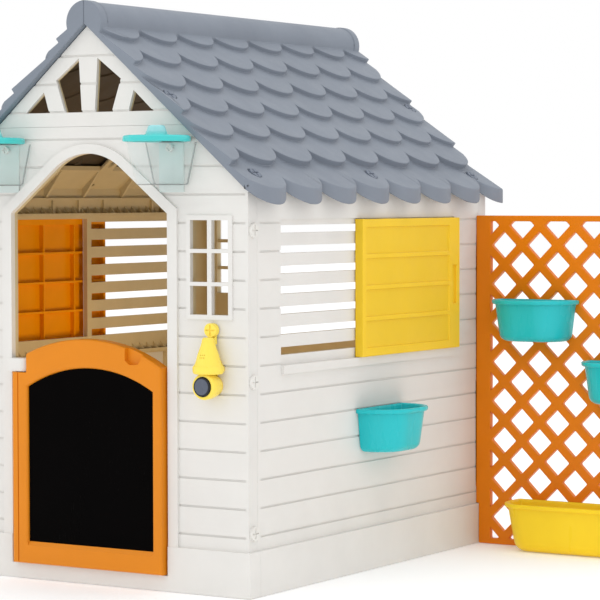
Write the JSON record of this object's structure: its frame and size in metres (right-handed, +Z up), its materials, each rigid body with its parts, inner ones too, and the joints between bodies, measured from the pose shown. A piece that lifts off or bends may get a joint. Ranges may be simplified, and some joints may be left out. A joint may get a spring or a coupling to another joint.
{
  "type": "plastic playhouse",
  "caption": "Child-size plastic playhouse with shingled gable roof, half door with chalkboard, louvred windows, sliding shutters, lanterns, bell, trellis and planters.",
  "frame": {"origin": "on the floor, in the outer face of the front wall, at the middle of the door threshold", "axes": "+X to the right seen from the front, +Y to the rear of the house, +Z up"},
  "size_m": [1.5532, 1.307, 1.3705],
  "materials": {
    "white_plastic": "satin moulded",
    "roof_plastic": "satin moulded",
    "white_screw": "satin",
    "grey_screw": "satin",
    "orange_plastic": "satin moulded",
    "teal_plastic": "semi gloss",
    "yellow_plastic": "semi gloss",
    "clear_plastic": "clear moulded plastic",
    "chalkboard_black": "smooth satin",
    "button_grey": "satin",
    "black_plastic": "matt",
    "circuit_board": "satin",
    "steel": "plated"
  },
  "bodies": {
    "house": {"front_wall": "white_plastic", "front_gable": "white_plastic", "rear_wall": "white_plastic", "rear_gable": "white_plastic", "right_wall": "white_plastic", "left_wall": "white_plastic", "hinge_bracket": "white_plastic", "roof_panel_right": "roof_plastic", "roof_panel_left": "roof_plastic", "corner_screws_right": "white_screw", "corner_screws_left": "white_screw", "roof_screws_right": "grey_screw", "roof_screws_left": "grey_screw", "trellis": "orange_plastic", "trellis_pegs": "orange_plastic", "lantern_plate_right": "clear_plastic", "lantern_shade_right": "clear_plastic", "lantern_cap_right": "teal_plastic", "lantern_plate_left": "clear_plastic", "lantern_shade_left": "clear_plastic", "lantern_cap_left": "teal_plastic", "lantern_screws": "white_screw", "bell_housing": "yellow_plastic", "bell_back_plate": "yellow_plastic", "bell_screw": "yellow_plastic", "bell_circuit_board": "circuit_board", "bell_cells": "steel", "bell_speaker": "black_plastic", "button_spring": "steel"},
    "door": {"door_leaf": "orange_plastic", "chalkboard": "chalkboard_black", "door_pins": "steel"},
    "shutter_right": {"shutter_right": "yellow_plastic"},
    "shutter_left": {"shutter_left": "yellow_plastic"},
    "bell_button": {"bell_button": "button_grey"},
    "wall_planter": {"wall_planter": "teal_plastic"},
    "trellis_planter_upper": {"trellis_planter_upper": "teal_plastic"},
    "trellis_planter_lower": {"trellis_planter_lower": "teal_plastic"},
    "trough_planter": {"trough_planter": "yellow_plastic"}
  },
  "joints": [
    {"name": "door_hinge", "type": "hinge", "parent": "house", "child": "door", "pos_m": [-0.192, 0, 0.3], "axis": [0, 0, -1], "range_deg": [0, 90]},
    {"name": "shutter_right_slide", "type": "slide", "parent": "house", "child": "shutter_right", "axis": [0, -1, 0], "range_m": [0, 0.342]},
    {"name": "shutter_left_slide", "type": "slide", "parent": "house", "child": "shutter_left", "axis": [0, 1, 0], "range_m": [0, 0.342]},
    {"name": "bell_button_press", "type": "slide", "parent": "house", "child": "bell_button", "axis": [0, 1, 0], "range_m": [0, 0.004], "stiffness_N_per_m": 400, "deforming": ["button_spring"]},
    {"name": "wall_planter_lift", "type": "slide", "parent": "house", "child": "wall_planter", "axis": [0, 0, 1], "range_m": [0, 0.008]},
    {"name": "upper_planter_lift", "type": "slide", "parent": "house", "child": "trellis_planter_upper", "axis": [0, 0, 1], "range_m": [0, 0.03]},
    {"name": "lower_planter_lift", "type": "slide", "parent": "house", "child": "trellis_planter_lower", "axis": [0, 0, 1], "range_m": [0, 0.03]},
    {"name": "trough_lift", "type": "slide", "parent": "house", "child": "trough_planter", "axis": [0, 0, 1], "range_m": [0, 0.03]}
  ]
}
